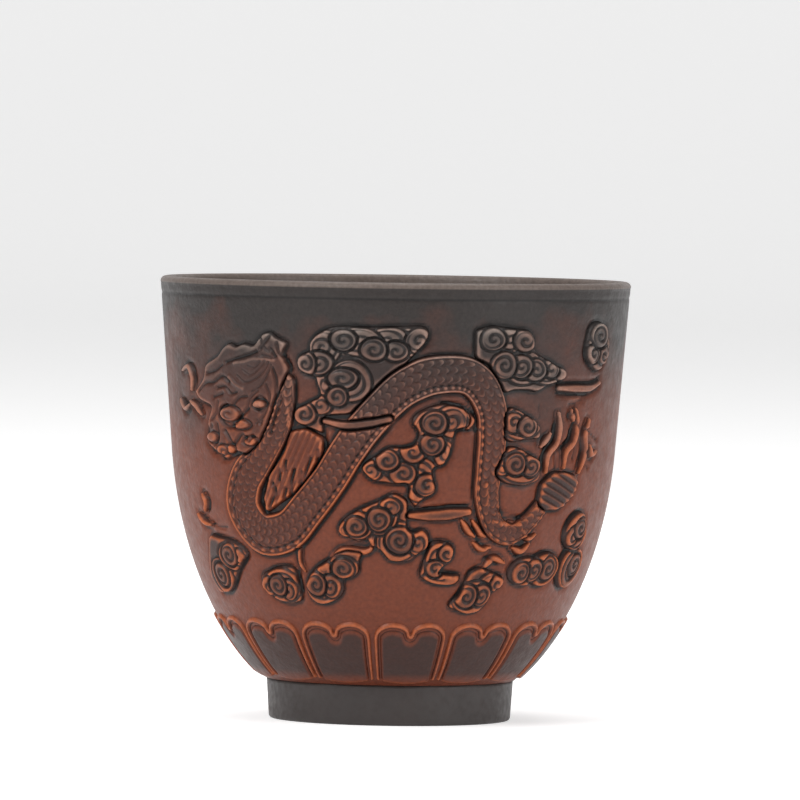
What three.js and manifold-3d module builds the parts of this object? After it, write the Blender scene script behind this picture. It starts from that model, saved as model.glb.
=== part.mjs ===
// A tea cup without a handle, in burnished stoneware: a bowl on a luted foot ring, with a glaze
// lining, fourteen moulded lotus petals round its foot, and a dragon among clouds in low relief,
// once on each side. Units are millimetres. +Z is up, the origin is the middle of the face that
// the cup stands on, and the front is at -Y. A place on the wall is given by its angle from the
// front, in degrees, and its height above that face.
import * as THREE from "three";
import { mergeVertices } from "three/addons/utils/BufferGeometryUtils.js";
import Module from "manifold-3d";

const wasm = await Module();
wasm.setup();

// Bowl
const cupHeight = 70;
const rimRadius = 37.5;
const lipRadius = 0.9;
const lipBandHeight = 2.6;
const lipBandStep = 0.1;
const wallThickness = 2.6;
const thinningHeight = 14;
const shoulderHeight = 42.5;
const shoulderRadius = 35.2;
const bellyPull = 17;
const footPull = 9;
const footSlope = 38.5;
const floorThickness = 3.6;

// Foot ring
const footHeight = 6.4;
const footTopRadius = 19.6;
const footTaper = 0.4;
const footWall = 3.8;
const footChamfer = 0.5;
const footLedge = 0.2;

// Glaze lining
const glazeThickness = 0.4;
const glazeStop = 1.6;

// Relief
const slipBed = 0.15;
const petalCount = 14;
const petalTurn = 6.7;
const petalTopHeight = 17;
const petalBottomHeight = 6.7;
const petalGap = 0.8;
const petalEdge = 0.25;
const petalCrown = 0.55;
const reliefEdge = 0.3;
const reliefCrown = 0.65;
const reliefGap = 0.3;
const reliefRadius = 36;
const padStride = 5.5;
const sideTurns = { front: 0, back: 180 };

// How finely the round forms are faceted
const turnSteps = 48;
const bellySteps = 11;
const taperSteps = 3;
const lipSteps = 4;
const floorSteps = 3;

const clayColour = 0x4a2f27;
const rustColour = 0x8a4a30;
const footColour = 0x4b3d39;
const glazeColour = 0x5c4a45;

const degrees = THREE.MathUtils.degToRad;
const point = (radius, height) => new THREE.Vector2(radius, height);

function finish(name, geometry, colour, roughness) {
  const material = new THREE.MeshStandardMaterial({ color: colour, roughness, metalness: 0 });
  const mesh = new THREE.Mesh(geometry, material);
  mesh.name = name;
  return mesh;
}

// The outside of the wall: a round belly that rises from the foot, then a straight taper to the rim
const footEdge = point(footTopRadius + footLedge, footHeight);
const shoulder = point(shoulderRadius, shoulderHeight);
const rimEdge = point(rimRadius - lipBandStep, cupHeight);
const taperWay = rimEdge.clone().sub(shoulder).normalize();
const footWay = point(Math.cos(degrees(footSlope)), Math.sin(degrees(footSlope)));
const belly = new THREE.CubicBezierCurve(
  footEdge,
  footEdge.clone().addScaledVector(footWay, footPull),
  shoulder.clone().addScaledVector(taperWay, -bellyPull),
  shoulder,
);
const taper = new THREE.LineCurve(shoulder, rimEdge);

// A point of the outer wall with its outward normal, at a share of the belly or of the taper
function wallSample(curve, share) {
  const way = curve.getTangent(share);
  return { at: curve.getPoint(share), normal: point(way.y, -way.x) };
}

const wallTable = [];
const tableSteps = 90;
for (let i = 0; i < tableSteps; i++) wallTable.push(wallSample(belly, i / tableSteps));
wallTable.push(wallSample(taper, 0), wallSample(taper, 1));

// The outer wall at a height, between the two nearest samples
function wallAt(height) {
  let i = 0;
  while (i < wallTable.length - 2 && wallTable[i + 1].at.y < height) i++;
  const [low, high] = [wallTable[i], wallTable[i + 1]];
  const share = THREE.MathUtils.clamp((height - low.at.y) / (high.at.y - low.at.y), 0, 1);
  return {
    radius: THREE.MathUtils.lerp(low.at.x, high.at.x, share),
    normal: low.normal.clone().lerp(high.normal, share).normalize(),
  };
}

// The wall thins towards the lip
function thicknessAt(height) {
  const share = THREE.MathUtils.smoothstep(cupHeight - height, 0, thinningHeight);
  return THREE.MathUtils.lerp(2 * lipRadius, wallThickness, share);
}

function turned(profile) {
  return new THREE.LatheGeometry(profile, turnSteps).rotateX(Math.PI / 2);
}

function outerProfile() {
  const bandFoot = cupHeight - lipBandHeight;
  const band = [
    point(wallAt(bandFoot).radius, bandFoot),
    point(rimRadius, bandFoot + 2 * lipBandStep),
  ];
  const straight = taper.getPoints(taperSteps).slice(1, -1);
  return [...belly.getPoints(bellySteps), ...straight, ...band];
}

function lipProfile() {
  const middle = point(rimRadius - lipRadius, cupHeight - lipRadius);
  return Array.from({ length: lipSteps + 1 }, (_, i) => {
    const turn = (Math.PI * i) / lipSteps;
    return point(middle.x + lipRadius * Math.cos(turn), middle.y + lipRadius * Math.sin(turn));
  });
}

// The inside of the wall, from the axis out over the floor and up to the glaze's edge
const floorTop = footHeight + floorThickness;
const innerStart = 0.28;
function innerProfile() {
  const inside = ({ at, normal }) => at.clone().addScaledVector(normal, -thicknessAt(at.y));
  const wall = [];
  for (let i = 0; i <= bellySteps - 3; i++) {
    wall.push(inside(wallSample(belly, innerStart + ((1 - innerStart) * i) / (bellySteps - 3))));
  }
  const topShare = (cupHeight - glazeStop - shoulderHeight) / (cupHeight - shoulderHeight);
  for (let i = 1; i <= taperSteps; i++) wall.push(inside(wallSample(taper, (topShare * i) / taperSteps)));
  const way = wall[0].clone().sub(wall[1]).normalize();
  const reach = (wall[0].y - floorTop) / -way.y;
  const corner = wall[0].clone().addScaledVector(way, reach);
  const cove = new THREE.QuadraticBezierCurve(point(corner.x - reach, floorTop), corner, wall[0]);
  return [point(0, floorTop), ...cove.getPoints(floorSteps).slice(0, -1), ...wall];
}
const inner = innerProfile();

function bowl() {
  const profile = [point(0, footHeight), ...outerProfile(), ...lipProfile(), ...inner.slice().reverse()];
  return finish("bowl", turned(profile), clayColour, 0.45);
}

function footRing() {
  const top = footHeight;
  const outer = footTopRadius - footTaper;
  const hole = outer - footWall;
  const profile = [
    point(hole + footChamfer, 0),
    point(outer - footChamfer, 0),
    point(outer, footChamfer),
    point(footTopRadius, top),
    point(footTopRadius - footWall, top),
    point(hole, footChamfer),
    point(hole + footChamfer, 0),
  ];
  return finish("foot_ring", turned(profile), footColour, 0.55);
}

// The lining lies face to face on the inside of the bowl
function glazeLining() {
  const surface = inner.map((at, i) => {
    const way = inner[Math.min(i + 1, inner.length - 1)].clone().sub(inner[Math.max(i - 1, 0)]).normalize();
    return at.clone().add(point(-way.y, way.x).multiplyScalar(glazeThickness));
  });
  surface[0].x = 0;
  return finish("glaze_lining", turned([...inner, ...surface.reverse()]), glazeColour, 0.25);
}

// A flat point, across and up in millimetres with its lift off the wall, laid on the wall
function onWall(across, height, lift) {
  const { radius, normal } = wallAt(height);
  const turn = across / reliefRadius;
  const out = radius + lift * normal.x;
  return new THREE.Vector3(out * Math.sin(turn), -out * Math.cos(turn), height + lift * normal.y);
}

// Rings of flat points, each ring closed on itself, joined one to the next and shut by a point or
// a fan at each end, laid on the wall as one closed solid
function lofted(rings) {
  const corners = rings.flat().map((p) => onWall(p.x, p.y, p.z));
  const faces = [];
  const size = rings.find((ring) => ring.length > 1).length;
  const starts = [];
  rings.reduce((start, ring) => (starts.push(start), start + ring.length), 0);
  for (let i = 0; i + 1 < rings.length; i++) {
    const [a, b] = [starts[i], starts[i + 1]];
    for (let k = 0; k < size; k++) {
      const next = (k + 1) % size;
      if (rings[i].length > 1) faces.push([a + k, a + next, rings[i + 1].length > 1 ? b + k : b]);
      if (rings[i + 1].length > 1) faces.push([rings[i].length > 1 ? a + next : a, b + next, b + k]);
    }
  }
  const last = starts[rings.length - 1];
  for (let k = 1; k + 1 < rings[0].length; k++) faces.push([0, k + 1, k]);
  for (let k = 1; k + 1 < rings[rings.length - 1].length; k++) faces.push([last, last + k, last + k + 1]);
  const volume = faces.reduce((sum, [a, b, c]) => {
    return sum + corners[a].dot(new THREE.Vector3().crossVectors(corners[b], corners[c]));
  }, 0);
  const ordered = volume < 0 ? faces.map(([a, b, c]) => [a, c, b]) : faces;
  const geometry = new THREE.BufferGeometry().setFromPoints(corners);
  geometry.setIndex(ordered.flat());
  return solidOf(geometry);
}

function solidOf(geometry) {
  const merged = mergeVertices(geometry, 1e-4);
  return new wasm.Manifold(
    new wasm.Mesh({
      numProp: 3,
      vertProperties: new Float32Array(merged.attributes.position.array),
      triVerts: new Uint32Array(merged.index.array),
    }),
  );
}

function geometryOf(solid) {
  const mesh = solid.getMesh();
  const geometry = new THREE.BufferGeometry();
  geometry.setAttribute("position", new THREE.BufferAttribute(new Float32Array(mesh.vertProperties), 3));
  geometry.setIndex(new THREE.BufferAttribute(new Uint32Array(mesh.triVerts), 1));
  return geometry;
}

// A crowned pad over a flat outline. A cutter is the same outline, grown by a gap and standing far
// enough through the relief to cut what lies beside it
function pad(outline, edge, crown, cutter = false) {
  const middle = outline.reduce((sum, p) => sum.add(p), point(0, 0)).divideScalar(outline.length);
  const rim = outline.map((p) => {
    const arm = p.clone().sub(middle);
    return middle.clone().addScaledVector(arm, cutter ? 1 + reliefGap / arm.length() : 1);
  });
  const low = cutter ? -1 : slipBed;
  const [side, high] = cutter ? [2, 2] : [slipBed + edge, slipBed + crown];
  const ring = (share, lift) => rim.map((p) => {
    const at = middle.clone().lerp(p, share);
    return new THREE.Vector3(at.x, at.y, lift);
  });
  const hub = (lift) => [new THREE.Vector3(middle.x, middle.y, lift)];
  const longest = Math.max(...rim.map((p) => p.distanceTo(middle)));
  const count = Math.ceil(longest / padStride);
  const under = Array.from({ length: count }, (_, i) => ring((i + 1) / count, low));
  const shoulderLift = side + (high - side) * 0.8;
  const over = Array.from({ length: count }, (_, i) => ring(0.7 * (1 - i / count), shoulderLift));
  over.forEach((points, i) => points.forEach((p) => (p.z += ((high - shoulderLift) * i) / count)));
  return lofted([hub(low), ...under, ring(1, side), ...over, hub(high)]);
}

// A crowned band along a curve, which narrows as its widths say
function band(places, widths, steps, cutter = false) {
  const line = new THREE.CatmullRomCurve3(places.map((p) => new THREE.Vector3(p.x, p.y, 0)));
  const grow = cutter ? reliefGap : 0;
  const low = cutter ? -1 : slipBed;
  const section = cutter
    ? [[-1, low], [0, low], [1, low], [1, 2], [0, 2], [-1, 2]]
    : [
        [-1, low],
        [0, low],
        [1, low],
        [1, low + reliefEdge],
        [0.5, low + reliefCrown * 0.9],
        [0, low + reliefCrown],
        [-0.5, low + reliefCrown * 0.9],
        [-1, low + reliefEdge],
      ];
  const rings = [];
  for (let i = 0; i <= steps; i++) {
    const share = i / steps;
    const spot = share * (widths.length - 1);
    const left = Math.min(Math.floor(spot), widths.length - 2);
    const half = THREE.MathUtils.lerp(widths[left], widths[left + 1], spot - left) + grow;
    const at = line.getPointAt(share);
    const way = line.getTangentAt(share);
    rings.push(section.map(([s, lift]) => {
      return new THREE.Vector3(at.x - way.y * half * s, at.y + way.x * half * s, lift);
    }));
  }
  return lofted(rings);
}

const place = (angle, height) => point(degrees(angle) * reliefRadius, height);

// A lotus petal: straight sides on two meridians, and a top of two round lobes that meet in a notch
const petalShoulder = 0.78;
function petalOutline(turn) {
  const half = Math.PI / petalCount - petalGap / 2 / reliefRadius;
  const rise = petalTopHeight - petalBottomHeight;
  const top = [-1, -0.9, -0.5, -0.14, 0, 0.14, 0.5, 0.9, 1].map((s) => {
    const lobe = Math.sqrt(Math.max(0, 1 - ((Math.abs(s) - 0.5) / 0.5) ** 2));
    return [s, petalShoulder + (1 - petalShoulder) * lobe];
  });
  const right = [[1, 0.5], [0.98, 0.25], [0.92, 0.06]];
  const bottom = [[0.5, 0], [0, 0], [-0.5, 0]];
  const left = right.map(([s, t]) => [-s, t]).reverse();
  return [...top, ...right, ...bottom, ...left].map(([s, t]) => {
    return point((degrees(turn) + s * half) * reliefRadius, petalBottomHeight + t * rise);
  });
}

function lotusPetals() {
  return Array.from({ length: petalCount }, (_, i) => {
    const solid = pad(petalOutline(petalTurn + (360 * i) / petalCount), petalEdge, petalCrown);
    return finish("lotus_petal_" + (i + 1), geometryOf(solid), rustColour, 0.45);
  });
}

// A cloud lobe: an oval whose edge waves in and out as a scalloped cloud does
const lobePoints = 14;
const lobeWaves = 5;
function lobe([angle, height, halfWide, halfHigh]) {
  const middle = place(angle, height);
  return Array.from({ length: lobePoints }, (_, i) => {
    const turn = (2 * Math.PI * i) / lobePoints;
    const wave = 1 + 0.08 * Math.cos(lobeWaves * turn);
    return point(middle.x + halfWide * wave * Math.cos(turn), middle.y + halfHigh * wave * Math.sin(turn));
  });
}

// Cloud banks: angle, height, half width and half height of each lobe
const cloudBanks = [
  [
    [-22, 57.2, 1.9, 2],
    [-17.4, 59.8, 3, 2.9],
    [-11, 60.8, 3.8, 2.4],
    [-3.6, 60.6, 4, 2.5],
    [3.6, 60.8, 3.8, 2.5],
    [-17.2, 54.2, 2.2, 3.2],
    [-12.4, 54.8, 3.4, 3.4],
    [-22.4, 49.4, 2, 1.9],
    [-18.2, 50.8, 1.9, 1.6],
  ],
  [[24, 61.4, 3.2, 2], [31.2, 61, 3.2, 2.3], [27.6, 57.6, 2.6, 2.6], [33.4, 57, 3.6, 2.8], [40.6, 56.2, 3.6, 2]],
  [[60, 61.4, 3.2, 2.6], [58.8, 58.6, 3, 2.2]],
  [[-4.4, 41.4, 2.5, 2.3], [1.6, 42, 3, 2.6], [6.6, 39.6, 3.2, 3.6], [9.4, 46, 3.3, 4.4], [14.4, 48.6, 2.6, 2.6]],
  [[-9.6, 32.2, 3.1, 2.3], [-3.4, 33.6, 3.2, 2.9], [1.4, 29.8, 3.7, 3.3], [6.8, 29.6, 2.3, 2.5]],
  [[-36.4, 22.3, 3, 2.5], [-31.4, 22.4, 2.2, 2.8]],
  [[-20.2, 22.5, 3.6, 3], [-13.6, 25.4, 3, 2]],
  [[-50.4, 26.6, 3.8, 2.4], [-57.4, 23.4, 3.4, 3]],
  [[13.4, 27.3, 2.7, 2.4], [14.4, 24.1, 3.5, 1.4]],
  [[24, 20.9, 3.8, 2.8], [30.4, 23.2, 2.9, 1.9]],
  [[41, 24.9, 3.4, 2.3], [48.6, 25.2, 3.8, 2.7]],
  [[59.6, 31, 3.4, 3.1], [61.4, 25.4, 3.8, 3.4]],
  [[34, 48.1, 3.6, 2.5]],
  [[34.4, 41.6, 4.2, 2.7]],
];

const headOutline = [
  [-59.6, 52.2],
  [-55, 54.4],
  [-54.2, 56.6],
  [-48.8, 58],
  [-44.8, 60.2],
  [-37, 59.8],
  [-34.4, 61.6],
  [-32.2, 62.1],
  [-26.8, 60.4],
  [-26.4, 56.6],
  [-30.4, 51.8],
  [-33.4, 47.4],
  [-36.2, 44.6],
  [-40.4, 42.6],
  [-49.4, 41.9],
  [-55.4, 44.4],
  [-54, 48],
  [-52, 50],
];

const bodyLine = [
  [-27.8, 54],
  [-28.6, 50],
  [-30.6, 46.5],
  [-36, 42.2],
  [-41, 38.6],
  [-42.6, 34.2],
  [-37.4, 30.4],
  [-29, 31],
  [-22.6, 34.6],
  [-16.5, 39],
  [-11.9, 43.4],
  [-7, 47.6],
  [0, 52.4],
  [5, 54.6],
  [10, 55.7],
  [17.2, 55.8],
  [21.8, 54.1],
  [25, 50.4],
  [25.6, 46],
  [25.2, 41],
  [25, 37],
  [27.6, 32.6],
  [33, 30.8],
  [38.4, 32.4],
  [43.6, 35.8],
];
const bodyWidths = [1.6, 2.1, 3, 3.7, 3.3, 3.1, 2.9, 2.9, 2.8, 3.1, 2.9, 2.6, 2.4, 2, 1.7, 1.4];
const bodySteps = 40;
const legLine = [[4.6, 33.8], [9, 33.8], [14, 34], [20.4, 34.4]];
const legWidths = [0.5, 0.9, 1, 0.6];
const legSteps = 9;
const scrollLine = [[-17.4, 48.3], [-12, 47.7], [-6, 48.1], [-1, 48.8]];
const scrollWidths = [0.5, 0.7, 0.7, 0.6];
const scrollSteps = 6;
const ribbonLine = [[45.4, 53.7], [52, 53.6], [58, 53.6], [62.6, 54.4]];
const ribbonWidths = [0.5, 0.7, 0.7, 0.5];
const maneOutline = [
  [-26.6, 46.6],
  [-20.6, 46.6],
  [-17.6, 43.8],
  [-21.6, 39.8],
  [-25.4, 37.2],
  [-29.6, 35.6],
  [-34.4, 34.4],
  [-34.8, 37.4],
  [-31.6, 40.6],
  [-29.4, 42.2],
];
const tailOutline = [
  [41.4, 38.8],
  [45.5, 40.6],
  [50, 40.6],
  [55.3, 40],
  [55.9, 38.2],
  [54.2, 36.6],
  [49.7, 34.6],
  [44.6, 34.4],
  [41.6, 35.6],
];

// What is in front comes first, and each piece is cut clear of those before it
function reliefPieces() {
  const bank = (lobes, cutter) => lobes
    .map((one) => pad(lobe(one), reliefEdge, reliefCrown, cutter))
    .reduce((sum, one) => sum.add(one));
  const clouds = cloudBanks.map((lobes, i) => ({
    name: "cloud_bank_" + (i + 1),
    make: (cutter) => bank(lobes, cutter),
  }));
  const outlined = (corners) => {
    const outline = corners.map(([angle, height]) => place(angle, height));
    return (cutter) => pad(outline, reliefEdge, reliefCrown, cutter);
  };
  const laid = (line, widths, steps) => (cutter) => {
    return band(line.map(([angle, height]) => place(angle, height)), widths, steps, cutter);
  };
  return [
    { name: "dragon_head", make: outlined(headOutline) },
    { name: "dragon_hind_leg", make: laid(legLine, legWidths, legSteps) },
    { name: "dragon_tail_fan", make: outlined(tailOutline) },
    { name: "scroll_band", make: laid(scrollLine, scrollWidths, scrollSteps) },
    ...clouds.slice(bodyPlace),
    { name: "dragon_body", make: laid(bodyLine, bodyWidths, bodySteps) },
    { name: "dragon_mane", make: outlined(maneOutline) },
    ...clouds.slice(0, bodyPlace),
    { name: "cloud_ribbon", make: laid(ribbonLine, ribbonWidths, scrollSteps) },
  ];
}

const smallestPiece = 2.5;
const bodyPlace = 3;
function relief() {
  const made = [];
  const cutters = [];
  for (const { name, make } of reliefPieces()) {
    const solid = cutters.reduce((left, cutter) => left.subtract(cutter), make(false));
    cutters.push(make(true));
    const bodies = solid.decompose().filter((one) => one.volume() > smallestPiece);
    bodies.forEach((one, i) => made.push({ name: bodies.length > 1 ? name + "_" + (i + 1) : name, solid: one }));
  }
  return made;
}

const cup = new THREE.Group();
cup.name = "tea_cup";
cup.add(bowl(), footRing(), glazeLining(), ...lotusPetals());
const carved = relief();
for (const [side, turn] of Object.entries(sideTurns)) {
  for (const { name, solid } of carved) {
    const mesh = finish(side + "_" + name, geometryOf(solid), name.includes("cloud") ? rustColour : clayColour, 0.45);
    mesh.rotation.z = degrees(turn);
    cup.add(mesh);
  }
}

export default cup;
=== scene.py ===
"""A handleless stoneware tea cup, moulded with a dragon among clouds over a band of lotus petals.

Formulas are in millimetres, in the frame's axes. A place on the wall is an angle from the front, in
degrees, and a height above the face that the cup stands on.
"""

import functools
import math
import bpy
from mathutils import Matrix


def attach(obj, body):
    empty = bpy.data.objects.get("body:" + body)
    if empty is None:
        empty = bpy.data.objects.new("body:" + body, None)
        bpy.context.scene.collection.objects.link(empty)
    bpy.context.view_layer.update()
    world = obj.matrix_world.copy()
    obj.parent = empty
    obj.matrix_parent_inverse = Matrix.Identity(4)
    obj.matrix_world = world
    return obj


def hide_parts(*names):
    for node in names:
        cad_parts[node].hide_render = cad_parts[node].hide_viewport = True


bl_info = {
    "name": "Relief tea cup",
    "version": (1, 0, 0),
    "blender": (4, 5, 0),
    "location": "3D View > Sidebar > Tea Cup",
    "description": "Dresses the packed tea cup with carved relief, burnished clay and a studio",
    "category": "Add Mesh",
}

import bpy
import numpy as np
from bpy.props import FloatProperty, FloatVectorProperty, IntProperty, PointerProperty
from mathutils import Matrix, Vector

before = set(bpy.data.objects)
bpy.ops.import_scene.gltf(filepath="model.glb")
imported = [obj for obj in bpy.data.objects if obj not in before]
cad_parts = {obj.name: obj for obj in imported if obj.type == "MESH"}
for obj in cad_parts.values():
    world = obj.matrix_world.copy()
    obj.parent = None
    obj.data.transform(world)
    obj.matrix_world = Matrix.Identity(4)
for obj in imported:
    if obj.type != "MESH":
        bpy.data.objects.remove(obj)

MM = 0.001
ROOT = "root"
RELIEF_RADIUS = 36.0
SIDES = {"front": 0.0, "back": 180.0}
PETALS = 14
PETAL_TOP = 16.9
PETAL_NOTCH = 15.1
PETAL_SIDE = 14.2
LOBE_PEAK = 3.77
PETAL_GAP = 0.24
PETAL_FOOT = 6.75
PETAL_BOW = 0.7
FIRST_PETAL = 6.7

# Across a petal's edge, from outside in: the middle of its rim, the cut line, the start of its leaf
PETAL_RIM = 0.55
PETAL_CUT = 1.2
PETAL_LEAF = 1.25

# The grid on which the carving is worked out: its cell, how many cells a form's edge goes on under
# the wall, how deep its underside lies, and how many cells wide the painted highlight and shade are judged
CELL = 0.15
EDGE_CELLS = 4
UNDERSIDE = 0.8
PAINTED_LIGHT_REACH = 3
SWIRL_GAP = 1.1
FAR = -9.0

# How sooty a form's top is; the others' are fully so
SOOT = {"dragon_head": 0.45, "dragon_body": 0.6, "dragon_mane": 0.2, "strands": 0.6}

# The wall's outline, as the frame has it: foot edge, two pulls of the belly's curve, shoulder, rim
FOOT_EDGE = (19.8, 6.4)
FOOT_SLOPE = 38.5
FOOT_PULL = 9.0
BELLY_PULL = 17.0
SHOULDER = (35.2, 42.5)
RIM_EDGE = (37.4, 70.0)
WIDEST = 37.48
CUP_HEIGHT = 70.0
LIP_RADIUS = 0.9
GROOVE_HEIGHT = 67.4
GLAZE_TOP = 68.4
WALL = 2.6
THINNING = 14.0
FLOOR_TOP = 10.0
INNER_START = 12.6
COVE = 1.4
GLAZE = 0.36
GLAZE_BED = 0.15

# The foot ring: its height, its outer and inner radius at the ground and under the bowl, its round
FOOT_TOP = 6.4
FOOT_OUTER = (19.2, 19.6)
FOOT_INNER = (15.4, 15.8)
FOOT_ROUND = 0.5

# The camera of the picture: place and the height that it looks at in metres, lens in millimetres,
# and the picture's small tilt to the side in degrees
CAMERA = (0.00095, -1.5, 0.097)
AIM_HEIGHT = 0.0507
LENS = 424.8
ROLL = 0.86

# Softboxes: place and width in metres, power in watts
LAMPS = {
    "key": ((-0.9, -0.9, 0.9), 0.9, 13),
    "fill": ((1.1, -0.7, 0.5), 0.9, 7),
    "top": ((0.0, 0.2, 1.3), 1.0, 8),
}
DAYLIGHT = 0.3

# Cloud banks, by the frame's numbers: angle, height, half width and half height of each lobe, the
# lobes in front first
CLOUD_BANKS = {
    1: [
        (-22, 57.2, 1.9, 2), (-18.4, 57.4, 2.3, 2), (-22.4, 49.4, 2, 1.9), (-14, 52.2, 1.8, 1.7),
        (-12.6, 55, 2.6, 1.8), (-18.2, 50.8, 1.9, 1.6), (-5, 59.6, 2.2, 1.9), (-12.4, 61, 2.2, 1.8),
        (0.4, 59.4, 2, 1.7), (5.8, 61, 2.2, 2.1), (-17.4, 59.8, 3, 2.9), (-8.4, 60.8, 3.4, 2.4),
        (-1.4, 61.2, 3.4, 2), (3.2, 60.8, 3.2, 2.3), (-17.2, 54.2, 2.2, 3.2), (-11, 54.6, 3.6, 3.4),
        (-11, 60.8, 3.8, 2.4),
    ],
    2: [
        (27.6, 57.4, 2.3, 2.3), (32.4, 57.2, 2.2, 2), (36.8, 56.6, 2.2, 1.9), (41.6, 56.8, 1.9, 1.6),
        (33.2, 61.2, 2.3, 1.9), (24.4, 61.4, 2.2, 1.9), (45.2, 56, 1.4, 1.2), (29, 61.2, 2.4, 2),
        (33.4, 57, 3.6, 2.8), (40.6, 56.2, 3.6, 2),
    ],
    3: [(60, 61.9, 2.6, 2.1), (57.4, 59, 1.9, 1.7), (62.6, 58.8, 1.8, 1.6), (60, 60.4, 3, 2.6)],
    4: [
        (10.2, 48.3, 2.2, 2), (9.8, 45, 2.1, 1.9), (-1.4, 42.4, 2, 1.8), (-5.6, 40.8, 2, 1.7),
        (5, 43.8, 2.2, 1.9), (8.8, 38.6, 2.2, 1.9), (2.6, 40.4, 2.3, 1.9), (14.4, 48.6, 2.6, 2.6),
        (12.8, 43.6, 1.8, 2.2), (1.6, 42, 3, 2.6), (6.6, 39.6, 3.2, 3.6), (9.4, 46, 3.3, 4.4),
    ],
    5: [
        (2, 30, 2.5, 2.3), (-3.4, 33.2, 2.1, 2), (-9.4, 32, 2, 1.7), (7, 29.6, 2, 2.1),
        (-12.4, 31.6, 1.6, 1.4), (-0.6, 35.2, 1.9, 1.5), (-9.6, 32.2, 3.1, 2.3), (-3.4, 33.6, 3.2, 2.9),
        (1.4, 29.8, 3.7, 3.3),
    ],
    6: [(-34.6, 22.4, 2, 1.8), (-31.2, 21.8, 1.8, 1.8), (-38, 22.2, 1.8, 1.6), (-33.4, 22.4, 4, 2.7)],
    7: [
        (-22, 22.8, 2.1, 2), (-17.6, 22.6, 2, 2), (-13.6, 25.4, 2.2, 1.7), (-18.6, 25.2, 1.8, 1.2),
        (-20.2, 22.5, 3.6, 3), (-13.6, 25.4, 3, 2),
    ],
    8: [
        (-51.2, 26.8, 2.2, 1.9), (-57.4, 23.6, 2.2, 2), (-47.6, 26.4, 1.6, 1.5),
        (-50.4, 26.6, 3.8, 2.4), (-57.4, 23.4, 3.4, 3),
    ],
    9: [(15.2, 28, 1.7, 1.5), (12.2, 25.6, 1.8, 1.5), (13.4, 27.3, 2.7, 2.4), (14.4, 24.1, 3.5, 1.4)],
    10: [
        (22.6, 21.2, 2.3, 2), (27.4, 21.4, 2, 1.9), (32, 23.2, 1.8, 1.5), (24.8, 20.9, 4, 2.8),
        (30.4, 23.2, 2.9, 1.9),
    ],
    11: [
        (39.4, 24.8, 2, 1.8), (44, 25.2, 2, 1.9), (49.6, 25.4, 2.2, 2), (41, 24.9, 3.4, 2.3),
        (48.6, 25.2, 3.8, 2.7),
    ],
    12: [
        (60.6, 31.6, 2.1, 1.8), (62.6, 25.8, 2.2, 1.9), (57.4, 30.4, 1.8, 1.7), (59.6, 31, 3.4, 3.1),
        (61.4, 25.4, 3.8, 3.4),
    ],
    13: [(35.4, 47.8, 2, 1.8), (31.2, 48.4, 1.8, 1.7), (34, 48.1, 3.6, 2.5)],
    14: [(32.4, 41.9, 2.1, 1.9), (37.2, 41.6, 2, 1.8), (28.6, 41.4, 1.6, 1.4), (34.4, 41.6, 4.2, 2.7)],
}

HEAD_OUTLINE = [
    (-59.6, 52.2), (-55, 54.4), (-54.2, 56.6), (-48.8, 58), (-47.6, 59), (-44.8, 60.2), (-42.6, 59.4),
    (-39.8, 60.2), (-36.8, 59.6), (-34.4, 61.6), (-32.2, 62.1), (-29.8, 61), (-26.8, 60.4),
    (-28.8, 58.6), (-26.4, 56.6), (-30.4, 51.8), (-33.4, 47.4), (-36.2, 44.6), (-40.4, 42.6),
    (-43.2, 43.2), (-47.4, 41.7), (-51, 42.8), (-55.4, 44.4), (-54, 48), (-52, 50), (-57.4, 50.8),
]
MANE_OUTLINE = [
    (-27, 46.6), (-22, 47.2), (-17.6, 45.6), (-17.8, 43.4), (-21.6, 39.8), (-25.4, 37.2), (-29.6, 35.6),
    (-35.2, 33.6), (-36, 35.6), (-34.4, 39), (-31.6, 40.8), (-28.4, 43.6),
]
TAIL_OUTLINE = [
    (41.4, 38.8), (45.5, 40.6), (50, 40.6), (55.3, 40), (55.9, 38.2), (54.2, 36.6), (49.7, 34.6),
    (44.6, 34.4), (41, 35.6),
]

BODY_LINE = [
    (-27.8, 54), (-28.6, 50), (-30.6, 46.5), (-36, 42.2), (-41, 38.6), (-42.6, 34.2), (-37.4, 30.4),
    (-29, 31), (-22.6, 34.6), (-16.5, 39), (-11.9, 43.4), (-7, 47.6), (0, 52.4), (5, 54.6), (10, 55.7),
    (17.2, 55.8), (21.8, 54.1), (25, 50.4), (25.6, 46), (25.2, 41), (25, 37), (27.6, 32.6), (33, 30.8),
    (38.4, 32.4), (43.6, 35.8),
]
BODY_WIDTHS = [1.6, 2.1, 3, 3.7, 3.3, 3.1, 2.9, 2.9, 2.8, 3.1, 2.9, 2.6, 2.4, 2, 1.7, 1.4]
LEG_LINE = [(4.6, 33.8), (9, 33.8), (14, 34), (20.4, 34.4)]
LEG_WIDTHS = [0.5, 0.9, 1, 0.6]
SCROLL_LINE = [(-17.4, 48.3), (-12, 47.7), (-6, 48.1), (-1, 48.8)]
SCROLL_WIDTHS = [0.5, 0.7, 0.7, 0.6]
RIBBON_LINE = [(45.4, 53.7), (52, 53.6), (58, 53.6), (62.6, 54.4)]
RIBBON_WIDTHS = [0.5, 0.7, 0.7, 0.5]

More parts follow.
